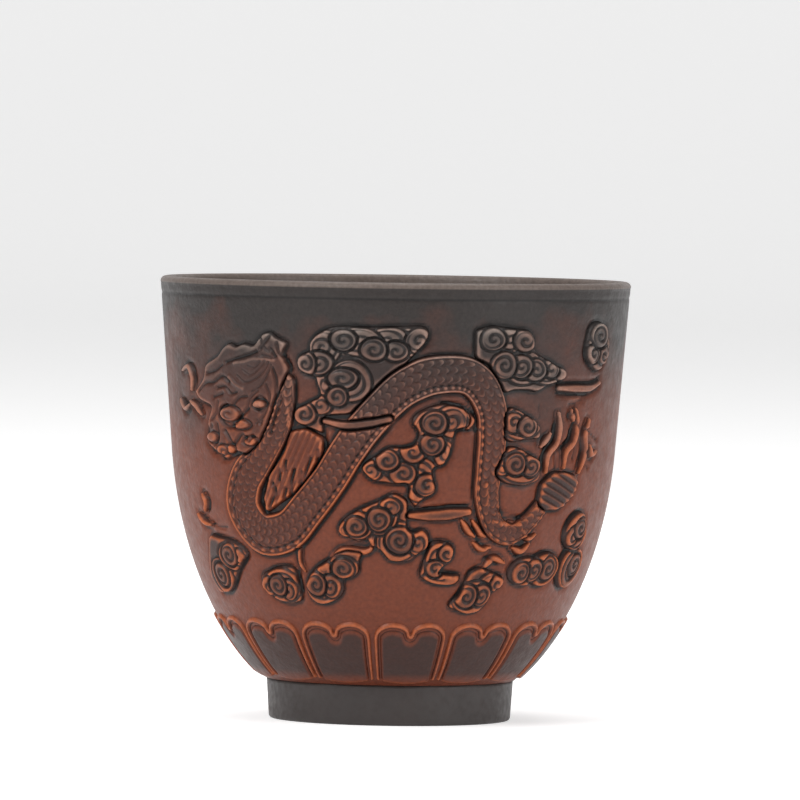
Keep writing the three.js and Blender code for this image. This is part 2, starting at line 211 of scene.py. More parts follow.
# Cut lines: half width, depth, and the points of the line
CUTS = [
    (0.3, 0.4, [(-45.7, 57.1), (-42.1, 57.7), (-38.3, 58.3), (-35.7, 58.9)]),
    (0.28, 0.35, [(-34.5, 59.4), (-33.2, 60.4), (-31.9, 61.3)]),
    (0.3, 0.4, [(-31.6, 59.4), (-30.3, 58.2)]),
    (0.22, 0.25, [(-34.1, 58.4), (-31.3, 58)]),
    (0.22, 0.28, [(-37.7, 52.6), (-35.1, 53.5), (-33.2, 54.9), (-31.6, 56.9)]),
    (0.2, 0.22, [(-42.1, 55.1), (-39.6, 54.1), (-36.4, 54.7), (-33.8, 55.9), (-32.2, 57.3)]),
    (0.2, 0.2, [(-40.4, 56), (-37.7, 55.3), (-34.8, 56.5), (-33.2, 57.5)]),
    (0.2, 0.2, [(-38.6, 56.6), (-36.6, 56.4), (-34.6, 57.4)]),
    (0.3, 0.35, [(-51.1, 51.5), (-47.6, 52.1)]),
    (0.35, 0.45, [
        (-46.3, 50.3), (-48.2, 49.9), (-49.2, 48.9), (-48.2, 47.7), (-45.3, 46.9), (-42.8, 47.7),
        (-40.9, 48.9), (-38.9, 49.9),
    ]),
    (0.22, 0.3, [(-37.7, 50.3), (-36.4, 51.5), (-34.8, 51.9), (-33.2, 50.9), (-33.8, 49.2)]),
    (0.2, 0.25, [(-37.4, 50.2), (-34.8, 49.5), (-33.2, 50.2)]),
    (0.25, 0.3, [(-36.2, 48.2), (-35.2, 47.6), (-34.8, 48.2)]),
    (0.35, 0.45, [
        (-47.3, 46.3), (-44.7, 44.3), (-43.1, 44.9), (-41.5, 45.8), (-40.2, 45.3), (-38.9, 44.9),
        (-37.8, 45.6),
    ]),
    (0.4, 0.45, [(-54.6, 46.1), (-52.7, 46.9)]),
    (0.3, 0.35, [(-50.2, 47.2), (-50, 45.9)]),
    (0.3, 0.35, [(-53.7, 43.1), (-52.4, 42.5)]),
    (0.3, 0.4, [(-49.1, 41.9), (-48.9, 42.9), (-47.9, 43.3), (-45.4, 42.5), (-43.8, 42.9)]),
    (0.3, 0.4, [(-29, 51.9), (-30, 49.9), (-31.3, 47.9), (-32.2, 46.3)]),
    (0.3, 0.4, [(-57.4, 52.4), (-54.2, 53.6), (-51, 53.8), (-47.6, 54.8), (-45, 54)]),
    (0.26, 0.35, [(-53.4, 55.2), (-50.2, 55.6), (-47.2, 56.6)]),
    (0.26, 0.35, [(-49.4, 53), (-46.6, 53.2), (-44.4, 52.2), (-42.6, 52.4)]),
    (0.26, 0.35, [(-43.6, 50.6), (-41.6, 51.6), (-39.2, 51.8)]),
    (0.3, 0.4, [(-31.2, 56.4), (-30.2, 54.6), (-30.4, 52.4), (-31.8, 50.4)]),
    (0.24, 0.3, [(-33.2, 53.8), (-32.2, 52), (-33, 50.2), (-34.6, 48.6), (-36.6, 47.6)]),
    (0.24, 0.3, [(-35.8, 52.8), (-38.4, 51.4), (-39, 50.2)]),
    (0.24, 0.3, [(-52.8, 47.8), (-50.6, 48.8), (-49.4, 50.8)]),
    (0.24, 0.3, [(-52, 43.8), (-50.2, 44.6), (-49.6, 46.2)]),
    (0.24, 0.3, [(-29.8, 60.4), (-29.2, 58.8), (-28, 58.2)]),
    (0.24, 0.3, [(-34.4, 61), (-33.4, 59.6), (-32, 59)]),
    (0.35, 0.4, [(-27.4, 57.5), (-26.1, 56.3)]),
    (0.45, 0.5, [(-34, 38.9), (-34.8, 37.2), (-35.7, 35.8), (-35.4, 33.6)]),
    (0.38, 0.45, [(-32.1, 38.3), (-31.3, 36.8), (-32.5, 35.8), (-33.8, 34.6)]),
    (0.34, 0.45, [(-28.4, 37.6), (-29, 36.2)]),
    (0.4, 0.5, [(-25.8, 40.5), (-26.5, 38.9), (-27.1, 37)]),
    (0.34, 0.45, [(-23.6, 40.3), (-24.2, 38.7)]),
    (0.38, 0.45, [(-21.3, 42.5), (-22.3, 40.7), (-22.9, 39.6)]),
    (0.3, 0.4, [(-19.1, 43.8), (-19.4, 42.4)]),
    (0.3, 0.4, [(-28.1, 41.9), (-28.1, 40.5)]),
    (0.3, 0.4, [(-30, 40.6), (-30, 38.9)]),
    (0.4, 0.45, [(-17.5, 46.3), (-17.4, 44.4)]),
    (0.35, 0.4, [(-57.4, 31.4), (-54, 31), (-51.2, 31)]),
    (0.35, 0.4, [(-27, 28.2), (-27.2, 25), (-27.4, 21.4)]),
    (0.32, 0.4, [(4.4, 34.9), (10, 34.9), (15, 35.2), (20, 35.5)]),
    (0.3, 0.35, [(28, 34.8), (32, 34.2), (36, 33.4)]),
    (0.3, 0.4, [(11.2, 51.9), (14, 51.3), (17.4, 50.8), (20.2, 49.4)]),
    (0.3, 0.35, [(15.4, 47.2), (18.6, 47.1), (21.9, 47.3)]),
    (0.35, 0.45, [(41.4, 40.8), (41.7, 42.9), (43, 44.5), (45.2, 45.9), (44.8, 47.9)]),
    (0.35, 0.45, [(46.6, 41.4), (46.4, 43.2), (48.2, 44.4), (50.8, 45.8), (51.2, 47.2)]),
    (0.35, 0.45, [(53.4, 42.6), (54.6, 44.6), (54.8, 46.8), (53, 48.2)]),
    (0.3, 0.4, [(50.3, 51.3), (53, 51.4), (55.8, 51.9)]),
    (0.3, 0.35, [(52.6, 50.7), (50.4, 49.4)]),
    (0.3, 0.4, [(57.4, 47.2), (60.6, 46.6), (64.6, 45.4)]),
    (0.3, 0.4, [(58.4, 43.6), (59.4, 42), (61, 41)]),
    (0.3, 0.35, [(45.2, 54.7), (52, 54.6), (60.6, 54.5), (63.4, 55.4)]),
    (0.3, 0.35, [(45.2, 52.7), (51.6, 52.6), (57.4, 52.7)]),
    (0.3, 0.35, [(39.4, 51), (39.8, 49.2)]),
    (0.25, 0.3, [(-60.6, 36.6), (-58.2, 36.4), (-57.4, 34.8), (-58.6, 33.4)]),
    (0.25, 0.3, [(22, 31.8), (24.6, 29.4), (28.6, 28.2)]),
    (0.25, 0.3, [(24.6, 26.6), (27.6, 27.2), (31, 26)]),
    (0.25, 0.3, [(33.6, 28.4), (36.6, 27.2), (39.4, 27.8)]),
]

# Raised lines on the wall or on what lies there: half width, rise, and the points of the line
RIDGES = [
    (0.35, 0.25, [(-44.7, 54.7), (-42.8, 53.7), (-40.2, 53)]),
    (0.3, 0.2, [(-42.8, 57), (-39.6, 57.2), (-36.4, 57.7), (-30.6, 57.6)]),
    (0.5, 0.3, [(-37, 50.4), (-35.2, 50.9), (-33.8, 50.4)]),
    (0.4, 0.25, [(-27.8, 52.7), (-27, 50), (-26.6, 47.4)]),
    (0.5, 0.45, [(42.6, 40.6), (43, 43.2), (45.6, 45), (46.6, 47.4), (45.8, 49.8)]),
    (0.5, 0.45, [(49, 41.2), (49.6, 43.6), (52.4, 45.2), (53.4, 47.6), (52.4, 50.4)]),
    (0.45, 0.4, [(40.4, 44.6), (42, 45.6), (43.3, 46.6)]),
    (0.55, 0.4, [(55.6, 40.4), (58, 43.6), (57.4, 46.2), (58.6, 48.6)]),
    (0.45, 0.4, [(60, 44.6), (61.4, 43.2), (63.6, 43.6)]),
    (0.45, 0.35, [(50.8, 50.2), (51.6, 48.6)]),
    (0.45, 0.4, [(17.4, 50.2), (19.7, 48.9), (18.9, 47.6)]),
    (0.4, 0.35, [(24.4, 38.8), (24.9, 37), (25.2, 35.6)]),
    (0.45, 0.4, [(18.4, 33.2), (20.8, 31.4), (22.6, 30.6)]),
    (0.45, 0.4, [(21.6, 33), (24, 31.2), (25.6, 30.6)]),
    (0.4, 0.4, [(22.4, 29.6), (25, 28.6), (27.8, 28.8)]),
    (0.4, 0.4, [(27, 33), (31, 32.6), (35.4, 32.6)]),
    (0.4, 0.35, [(36.6, 31.6), (39.6, 30.2), (42, 30.8)]),
    (0.45, 0.4, [(26.4, 25.6), (29.4, 27), (33, 26.4)]),
    (0.45, 0.4, [(34.8, 28.8), (38, 28.2), (40.2, 29.4)]),
    (0.4, 0.35, [(-66, 55.4), (-62.6, 56), (-60.6, 54.2), (-61.4, 52.4)]),
    (0.4, 0.35, [(-62.4, 50.6), (-59.4, 49.8), (-57.2, 48.6)]),
    (0.4, 0.35, [(-68.4, 50.8), (-65.6, 49.4), (-63.4, 50)]),
    (0.35, 0.3, [(-60, 36), (-58.6, 34.8), (-59.8, 33.4)]),
    (0.4, 0.35, [(-64, 32.8), (-61.2, 31.6), (-58.4, 31.2)]),
    (0.45, 0.4, [(-5.4, 29.8), (-5.6, 28.6), (-8, 28), (-13.2, 28.2), (-16.6, 27.2)]),
    (0.3, 0.25, [(-25.6, 29.6), (-26.6, 26.4), (-25.2, 24.6)]),
]

# Outlines of the cloud banks; a bank that isn't here has its lobes' outline
BANK_OUTLINES = {
    1: [
        (-24.5, 57.3), (-24.2, 58.4), (-22.6, 58.8), (-20.7, 59.2), (-21.3, 60.2), (-20, 61.4),
        (-18, 62.3), (-15.8, 62.9), (-12, 63.1), (-5.6, 63), (0.8, 63.2), (7.5, 63.3), (8.5, 62.4),
        (7.8, 61), (6.6, 60.1), (5, 59), (2.1, 57), (-2.1, 54.9), (-6.2, 52.7), (-10.4, 49.5),
        (-17.8, 49.2), (-17.8, 46.3), (-19.4, 46.7), (-22, 47.3), (-25.2, 47.9), (-25.8, 49.1),
        (-24.9, 50.3), (-22.6, 50.7), (-20.7, 51.5), (-18.5, 51.9), (-18.1, 52.7), (-19.1, 53.9),
        (-19.4, 55.3), (-21.7, 55.5), (-23.9, 56.1),
    ],
    2: [
        (20, 62.8), (24.4, 63.5), (30.2, 63), (34.7, 62.8), (36.3, 61.6), (35.9, 60.2), (37.2, 59.2),
        (39.8, 58.4), (42.3, 57.8), (44.6, 57), (46.8, 56.8), (47.5, 55.7), (46.2, 54.9), (43.9, 54.5),
        (41.7, 54.3), (39.8, 53.7), (37.9, 53.1), (35.3, 53.5), (30.8, 53.5), (28.6, 52.9),
        (25.4, 55.5), (24.1, 57.4), (20, 58.4),
    ],
    3: [
        (54.8, 60.4), (55.8, 63.2), (58, 64), (61.2, 64), (63.8, 63.4), (64.4, 62), (66, 61),
        (65.5, 58.5), (62.2, 56.3), (59.6, 56.3), (58, 57), (56.4, 57.6), (54.8, 58.6),
    ],
    4: [
        (-8.2, 41.1), (-7.2, 41.9), (-4, 43.1), (-2.1, 44.1), (-0.2, 44.5), (2.4, 44.3), (5.3, 44.7),
        (6.6, 46.1), (6.2, 47.3), (4.3, 48.3), (5.6, 49.7), (8.2, 50.5), (10.7, 51.1), (14, 51.3),
        (17.4, 50.8), (19.4, 49.4), (19, 47.7), (15.5, 47.3), (14.9, 44.7), (14.2, 43.3), (13, 41.7),
        (10.1, 41.5), (10.1, 39.7), (11.4, 38.2), (10.7, 37.2), (8.8, 36.8), (6.6, 35.8), (6.2, 35),
        (3.7, 36.8), (4.6, 38), (3.7, 39), (0.5, 38.6), (-2.1, 39), (-4.6, 39), (-6.6, 39.9),
    ],
    5: [
        (-14.6, 31.2), (-13.9, 32.4), (-11.7, 33.6), (-8.8, 34.6), (-5.9, 35.4), (-2.7, 36.2),
        (0.5, 37.4), (4, 36.2), (4, 33.6), (3.7, 31.8), (5.9, 31), (8.2, 32), (10.1, 30.8),
        (10.2, 29.2), (8.8, 28.2), (6.9, 27.8), (5.6, 26.8), (3, 26.4), (-0.8, 26.6), (-2.7, 28.2),
        (-5.9, 29.2), (-6.2, 30.2), (-9.1, 29.4), (-11.4, 30.2), (-13.6, 30.4),
    ],
    6: [
        (-40.7, 23.8), (-37.7, 24.4), (-34.6, 25.1), (-30.6, 25.4), (-28.3, 25.1), (-27.6, 20),
        (-31.6, 19.3), (-35.7, 19.6), (-38.7, 20.6), (-41, 22.2),
    ],
    7: [
        (-26, 22.2), (-24, 24.1), (-21.5, 25.4), (-18.5, 26.3), (-15.4, 27.6), (-12.4, 28.2),
        (-7.8, 27.9), (-9.3, 26.3), (-9.1, 24.7), (-11.4, 23.8), (-14.4, 23.5), (-13.9, 21.9),
        (-14.9, 20.9), (-17.4, 20), (-20.5, 19.5), (-24.5, 19.8),
    ],
    8: [
        (-59.4, 29.8), (-52.9, 29.2), (-49.3, 28.9), (-45.8, 27.9), (-43.8, 27.1), (-45.8, 26),
        (-48.8, 24.7), (-51.3, 23.2), (-54.4, 21.6), (-57.4, 20.6), (-63, 20.3), (-66, 23), (-62, 27),
    ],
    9: [
        (10.3, 29.6), (12.3, 29.9), (15.4, 29.6), (17.4, 28.7), (16.9, 26.8), (14.9, 26.1),
        (12.8, 24.8), (20.4, 24.5), (19.9, 22.9), (14.9, 22.9), (11.3, 23.2), (7.8, 24.2),
    ],
    10: [
        (20.4, 21.3), (17.4, 19.4), (20.4, 18.8), (24, 18.2), (27.5, 18.6), (30.1, 19.7), (30.6, 21.7),
        (33.1, 22.3), (34.6, 23.9), (25.5, 25.8), (22.5, 24.8),
    ],
    13: [
        (28.9, 49.7), (30.2, 50.9), (32.4, 50.5), (35.3, 49.5), (37.9, 48.9), (39.5, 47.9),
        (40.1, 46.9), (39.8, 45.7), (37.2, 45.9), (34, 45.5), (31.5, 45.3), (29.2, 45.7),
    ],
    14: [
        (26.7, 40.5), (30.2, 44.7), (33.4, 44.5), (35.9, 43.7), (38.8, 42.9), (40.7, 42.5),
        (41.4, 40.9), (40.4, 39.2), (37.9, 38.8), (35.9, 38.4), (33.4, 38.6), (30.8, 38.8),
        (28.6, 39.4),
    ],
}

# Rolls and balls of the head: angle, height, half width and half height, front ones first
HEAD_MOUNDS = [
    (-45.4, 49, 2.5, 1.3), (-35.4, 50.7, 1.4, 0.8), (-41.4, 47.4, 2, 0.9), (-52.4, 45.2, 1.5, 0.95),
    (-48.6, 43.3, 1.4, 0.9), (-45.4, 43.4, 1.1, 0.8), (-38.6, 44.8, 1.5, 0.8),
]


def linear(code):
    """The linear RGBA of an sRGB hex colour."""
    parts = np.array([int(code[i : i + 2], 16) / 255 for i in (1, 3, 5)])
    low = parts / 12.92
    high = ((parts + 0.055) / 1.055) ** 2.4
    return (*np.where(parts <= 0.04045, low, high).tolist(), 1.0)


def length(name, description, default):
    """A length that a user may change, in metres."""
    return FloatProperty(
        name=name,
        description=description,
        default=default * MM,
        min=0,
        precision=5,
        subtype="DISTANCE",
        unit="LENGTH",
    )


def colour(name, description, code):
    """A colour that a user may change."""
    return FloatVectorProperty(
        name=name, description=description, default=linear(code), size=4, min=0, max=1, subtype="COLOR"
    )


class CupSizes(bpy.types.PropertyGroup):
    """Depths and finenesses of the carving."""

    relief: length("Relief", "How far the dragon and the clouds stand out", 0.52)
    head: length("Head", "How far the dragon's head stands out", 0.45)
    sunk: length("Sunk edge", "How deep the edge of a carved form goes under the wall", 0.45)
    groove: length("Groove", "How deep the wall is cut beside a carved form", 0.3)
    petal: length("Petal", "How far a lotus petal stands out", 0.42)
    scale: length("Scale", "Length of a dragon's scale", 1.35)
    turn: IntProperty(name="Turn steps", description="Facets round the bowl", default=532, min=32)


class CupColours(bpy.types.PropertyGroup):
    """Colours of the clay, its painted highlights and painted shade, the glaze and the studio."""

    # Painted shade: near black where a place lies below its surroundings, in the cut lines and beside the
    # forms
    recess_shade: colour("Recess", "Painted shade in the cut lines", "#0c0706")
    clay: colour("Clay", "Smooth wall, low down", "#70351f")
    # Painted highlight on the carving's tops low down: the rust clay as it looks where light falls on it
    ridge: colour("Ridge", "Painted highlight on the tops, low down", "#b9643c")
    smoke: colour("Smoke", "Smooth wall, near the rim", "#2d2725")
    carved: colour("Carved clay", "Tops of the carving, low down", "#3a2019")
    smoked: colour("Smoked carving", "Tops of the carving, near the rim", "#2a2422")
    # Painted highlight on the carving's edges near the rim: the grey sheen of the smoked clay
    smoked_highlight: colour("Highlight near the rim", "Painted highlight on the carving's edges, near the rim", "#8d7d74")
    foot: colour("Foot", "Foot ring", "#352e2c")
    glaze: colour("Glaze", "Inside", "#5d514e")
    paper: colour("Paper", "Floor and backdrop", "#f4f4f4")


def sizes():
    return bpy.context.scene.cup_sizes


def colours():
    return bpy.context.scene.cup_colours


def belly_and_taper():
    """Radius and height down the wall's outside: a cubic curve from the foot edge to the shoulder,
    which leaves the foot at its slope and meets the taper in line, then the straight taper."""
    foot, shoulder, rim = (np.array(p, float) for p in (FOOT_EDGE, SHOULDER, RIM_EDGE))
    slope = math.radians(FOOT_SLOPE)
    out = foot + FOOT_PULL * np.array([math.cos(slope), math.sin(slope)])
    way = (rim - shoulder) / np.linalg.norm(rim - shoulder)
    under = shoulder - BELLY_PULL * way
    t = np.linspace(0, 1, 161)[:, None]
    belly = (1 - t) ** 3 * foot + 3 * (1 - t) ** 2 * t * out + 3 * (1 - t) * t**2 * under + t**3 * shoulder
    rise = np.linspace(0, 1, 81)[1:, None]
    return np.vstack([belly, shoulder + rise * (rim - shoulder)])


WALL_LINE = belly_and_taper()
WALL_WAY = np.gradient(WALL_LINE, axis=0)
WALL_WAY /= np.linalg.norm(WALL_WAY, axis=1)[:, None]


def on_wall(angle, height, lift):
    """Points in metres: on the wall at an angle and height, then lifted along the wall's normal, and
    never wider than the lip."""
    radius = np.interp(height, WALL_LINE[:, 1], WALL_LINE[:, 0])
    out = np.interp(height, WALL_LINE[:, 1], WALL_WAY[:, 1])
    up = -np.interp(height, WALL_LINE[:, 1], WALL_WAY[:, 0])
    turn = np.radians(angle)
    reach = np.minimum(radius + lift * out, WIDEST)
    return MM * np.stack([reach * np.sin(turn), -reach * np.cos(turn), height + lift * up], -1)


def flat(points):
    """Places on the wall, unrolled to millimetres across and up."""
    p = np.array(points, float)
    p[:, 0] = np.radians(p[:, 0]) * RELIEF_RADIUS
    return p


def smooth_line(points, step):
    """A curve through the points, evenly stepped: cubic pieces whose tangents run along the chord
    of the points on either side. It gives its points, its direction and its run."""
    p = flat(points)
    tangent = np.gradient(p, axis=0)
    t = np.linspace(0, 1, 24, endpoint=False)[None, :, None]
    a, b, m, n = p[:-1, None], p[1:, None], tangent[:-1, None], tangent[1:, None]
    cubic = (2 * t**3 - 3 * t**2 + 1) * a + (t**3 - 2 * t**2 + t) * m
    cubic = cubic + (3 * t**2 - 2 * t**3) * b + (t**3 - t**2) * n
    fine = np.vstack([cubic.reshape(-1, 2), p[-1:]])
    run = np.concatenate([[0], np.cumsum(np.linalg.norm(np.diff(fine, axis=0), axis=1))])
    even = np.linspace(0, run[-1], max(6, int(run[-1] / step)))
    line = np.stack([np.interp(even, run, fine[:, i]) for i in (0, 1)], 1)
    way = np.gradient(line, axis=0)
    return line, way / np.linalg.norm(way, axis=1)[:, None], even


def soft_outline(points):
    """A closed outline in even steps of about half a millimetre, softened by a mean over its
    neighbours."""
    p = flat([*points, points[0]])
    run = np.concatenate([[0], np.cumsum(np.linalg.norm(np.diff(p, axis=0), axis=1))])
    even = np.linspace(0, run[-1], int(run[-1] / 0.5), endpoint=False)
    line = np.stack([np.interp(even, run, p[:, i]) for i in (0, 1)], 1)
    for _ in range(2):
        line = (np.roll(line, 1, 0) + 2 * line + np.roll(line, -1, 0)) / 4
    return line


class Sheet:
    """A flat grid of places on the unrolled wall, on which the carving is worked out."""

    def __init__(self, low, high, cell):
        self.across = np.arange(low[0], high[0], cell)
        self.up = np.arange(low[1], high[1], cell)
        self.shape = (len(self.across), len(self.up))

    def window(self, low, high):
        """The part of the grid between two corners, with its places."""
        i = slice(*np.searchsorted(self.across, [low[0], high[0]]))
        j = slice(*np.searchsorted(self.up, [low[1], high[1]]))
        return (i, j), self.across[i, None], self.up[None, j]

    def inside(self, line):
        """How far each place lies inside a closed line: the distance to its nearest side, negative
        where a ray to the right crosses the line an even number of times."""
        field = np.full(self.shape, FAR)
        part, x, y = self.window(line.min(0) - 2, line.max(0) + 2)
        near = np.full((len(x), y.shape[1]), -FAR)
        odd = np.zeros_like(near, bool)
        for a, b in zip(line, np.roll(line, -1, 0)):
            side = b - a
            share = np.clip(((x - a[0]) * side[0] + (y - a[1]) * side[1]) / (side @ side), 0, 1)
            near = np.minimum(near, np.hypot(x - a[0] - share * side[0], y - a[1] - share * side[1]))
            if side[1]:
                cut = a[0] + side[0] * (y - a[1]) / side[1]
                odd ^= ((a[1] > y) != (b[1] > y)) & (x < cut)
        field[part] = np.where(odd, near, -near)
        return field

    def beside(self, points, reach, step=0.14):
        """For the places near a line: how far off they are, the run along it, and the side."""
        line, way, run = smooth_line(points, step)
        part, x, y = self.window(line.min(0) - reach, line.max(0) + reach)
        near = np.full((len(x), y.shape[1]), -FAR)
        place = np.zeros(near.shape, int)
        for k, (a, b) in enumerate(line):
            off = np.hypot(x - a, y - b)
            closer = off < near
            near[closer] = off[closer]
            place[closer] = k
        dx, dy = x - line[place, 0], y - line[place, 1]
        along = run[place] + dx * way[place, 0] + dy * way[place, 1]
        side = dy * way[place, 0] - dx * way[place, 1]
        return part, near, along, side, run[-1]

    def strip(self, points, widths):
        """How far each place lies inside a strip along a line, whose half width runs through the
        given widths."""
        field = np.full(self.shape, FAR)
        part, near, along, side, whole = self.beside(points, max(widths) + 2)
        half = np.interp(along / whole, np.linspace(0, 1, len(widths)), widths)
        field[part] = half - near
        return field, part, along, side, half

    def sample(self, field, angle, height):
        """The field at any angle and height of either side, and 0 off the sheet."""
        turned = np.radians((angle + 90) % 180 - 90) * RELIEF_RADIUS
        i = (turned - self.across[0]) / (self.across[1] - self.across[0])
        j = (height - self.up[0]) / (self.up[1] - self.up[0])
        i, j = np.broadcast_arrays(i, j)
        held = (i >= 0) & (i < self.shape[0] - 1.01) & (j >= 0) & (j < self.shape[1] - 1.01)
        i, j = np.where(held, i, 0), np.where(held, j, 0)
        a, b = i.astype(int), j.astype(int)
        s, t = i - a, j - b
        low = field[a, b] * (1 - s) + field[a + 1, b] * s
        high = field[a, b + 1] * (1 - s) + field[a + 1, b + 1] * s
        return np.where(held, low * (1 - t) + high * t, 0)


def smooth(share):
    """A smooth step from 0 to 1."""
    share = np.clip(share, 0, 1)
    return share**2 * (3 - 2 * share)


def quarter(share):
    """A round top: 1 in its middle and 0 where the share is -1 or 1."""
    return np.sqrt(np.clip(1 - share**2, 0, 1))


def bell(off, half):
    """A round ridge: 1 on its middle line, and almost nothing beyond twice its half width."""
    return np.exp(-((off / half) ** 2))


def raised(inside, top):
    """A carved form's height: from its sunk edge, steeply up over its outline, to its flat top."""
    sunk = sizes().sunk / MM
    return -sunk + (top + sunk) * smooth((inside + 0.3) / 0.7)


def blurred(field, reach):
    """The mean over a square of cells, taken three times over, which comes close to a bell."""
    for _ in range(3):
        for axis in (0, 1):
            rim = [(reach + 1, reach) if k == axis else (0, 0) for k in (0, 1)]
            run = np.moveaxis(np.cumsum(np.pad(field, rim, "edge"), axis), axis, 0)
            mean = (run[2 * reach + 1 :] - run[: -2 * reach - 1]) / (2 * reach + 1)
            field = np.moveaxis(mean, 0, axis)
    return field


def swirls(sheet, lobes):
    """Ovals that lie over each other, front ones first. Each is a dome with a groove that winds
    from its edge to its middle, about one turn to a millimetre, and a cut line round it where no
    other lies in front. It gives the height to add and how far a place lies inside any of them."""
    height = np.zeros(sheet.shape)
    cover = np.full(sheet.shape, FAR)
    for k, (angle, up, wide, high) in enumerate(lobes):
        middle = math.radians(angle) * RELIEF_RADIUS
        part, x, y = sheet.window((middle - wide - 1, up - high - 1), (middle + wide + 1, up + high + 1))
        x, y = (x - middle) / wide, (y - up) / high
        ray = np.arctan2(y, x)
        r = np.hypot(x, y) * (1 + 0.025 * np.cos(3 * ray + 2 * k))
        small = min(wide, high)
        own = (1 - r) * small
        shown = smooth(-cover[part] / 0.25)
        wind = (-1) ** k * ray / (2 * math.pi) - r * small / SWIRL_GAP
        off = np.abs(wind - np.round(wind)) * SWIRL_GAP
        groove = 0.34 * bell(off, 0.2) * smooth((small - 1) / 0.5)
        groove = groove * smooth((own - 0.3) / 0.3) * smooth(r / 0.15)
        dome = 0.2 * smooth(own / 0.5) + 0.1 * (1 - np.clip(r, 0, 1) ** 2)
        height[part] += shown * (np.where(own > 0, dome - groove, 0) - 0.36 * bell(own, 0.17))
        cover[part] = np.maximum(cover[part], own)
    return height, cover


def body_skin(along, side, half):
    """The dragon's skin: rows of scales, each of which rises towards the tail and drops off at a
    round free edge, belly plates as ribs along the lower side, a gutter between them, and a smooth
    raised roll along each edge."""
    size = sizes().scale / MM
    t = side / half
    row = np.floor(side / size)
    v = side / size - row - 0.5
    shift = along / size + 0.5 * (row % 2) - 0.55 * (1 - 4 * v**2)
    u = shift - np.floor(shift)
    knob = 0.34 * u * smooth((1 - u) / 0.14) * (1 - 1.6 * v**2) - 0.14
    rib = 0.16 * np.cos(2 * math.pi * along / size)
    upper = smooth((t + 0.62) / 0.1)
    within = smooth((0.86 - np.abs(t)) / 0.1)
    roll = 0.2 * bell(np.abs(t) - 0.92, 0.08) - 0.25 * bell(np.abs(t) - 0.82, 0.04)
    return within * ((1 - upper) * rib + upper * knob - 0.3 * bell(t + 0.58, 0.05)) + roll


@functools.cache
def carving():
    """The carving of one side, on the unrolled wall. Each form has a field of how far a place lies
    inside it. The forms stand front ones first, and each is cut off just short of those before it.
    Cut lines are taken off and raised lines added over all of them, and the wall itself is cut a
    little beside each form. The painted light of a place is its height less the mean height around
    it: a painted highlight where it stands above that mean, and painted shade where it lies below."""
    sheet = Sheet((-44, 17.6), (43, 65.4), CELL)
    size = sizes()
    top = size.relief / MM
    x, y = sheet.across[:, None], sheet.up[None]
    mounds = swirls(sheet, HEAD_MOUNDS)[0]
    forms = [("dragon_head", sheet.inside(soft_outline(HEAD_OUTLINE)), size.head / MM, mounds)]
    forms.append(("dragon_hind_leg", sheet.strip(LEG_LINE, LEG_WIDTHS)[0], 0.8 * top, 0))
    veins = 0.12 * np.cos(2 * math.pi * (y + 0.02 * x**2 / 3) / 1.2)
    forms.append(("dragon_tail_fan", sheet.inside(soft_outline(TAIL_OUTLINE)), top, veins))
    forms.append(("scroll_band", sheet.strip(SCROLL_LINE, SCROLL_WIDTHS)[0], 0.8 * top, 0))

    def bank(number):
        detail, cover = swirls(sheet, CLOUD_BANKS[number])
        if number in BANK_OUTLINES:
            cover = sheet.inside(soft_outline(BANK_OUTLINES[number]))
        return f"cloud_bank_{number}", cover, top, detail

    forms += [bank(number) for number in range(4, 15)]
    body, part, along, side, half = sheet.strip(BODY_LINE, BODY_WIDTHS)
    skin = np.zeros(sheet.shape)
    skin[part] = body_skin(along, side, half)
    forms.append(("dragon_body", body, top, skin))
    hair = 0.1 * np.cos(2 * math.pi * (0.9 * x - 0.45 * y) / 0.95)
    forms.append(("dragon_mane", sheet.inside(soft_outline(MANE_OUTLINE)), top, hair))
    forms += [bank(number) for number in (1, 2, 3)]
    forms.append(("cloud_ribbon", sheet.strip(RIBBON_LINE, RIBBON_WIDTHS)[0], 0.7 * top, 0))

    cuts, ridges = np.zeros(sheet.shape), np.zeros(sheet.shape)
    strands = np.full(sheet.shape, FAR)
    for half, depth, points in CUTS:
        part, near = sheet.beside(points, 1.5)[:2]
        cuts[part] = np.maximum(cuts[part], depth * bell(near, half))
    for half, rise, points in RIDGES:
        part, near, along, _, whole = sheet.beside(points, 1.5)
        taper = np.sin(math.pi * np.clip(along / whole, 0.06, 0.94)) ** 0.5
        ridges[part] = np.maximum(ridges[part], rise * bell(near, half))
        strands[part] = np.maximum(strands[part], 1.5 * half * taper - near)
    forms.append(("strands", strands, 0.25, 0))
    lines = ridges - cuts

    cover = np.full(sheet.shape, FAR)
    for k, (name, inside, rise, detail) in enumerate(forms):
        shown = np.minimum(inside, -cover - 0.12)
        height = raised(shown, rise) + smooth(shown / 0.3) * detail + smooth((shown + 0.2) / 0.3) * lines
        forms[k] = (name, shown, height)
        cover = np.maximum(cover, inside)
    wall = -size.groove / MM * bell(np.clip(cover + 0.35, None, 0), 0.3) + lines
    whole = np.maximum.reduce([wall, *(height for _, _, height in forms)])
    # The last value is painted light: a painted highlight where a place stands above the mean height around
    # it, painted shade where it lies below
    return sheet, forms, wall, whole - blurred(whole, PAINTED_LIGHT_REACH)


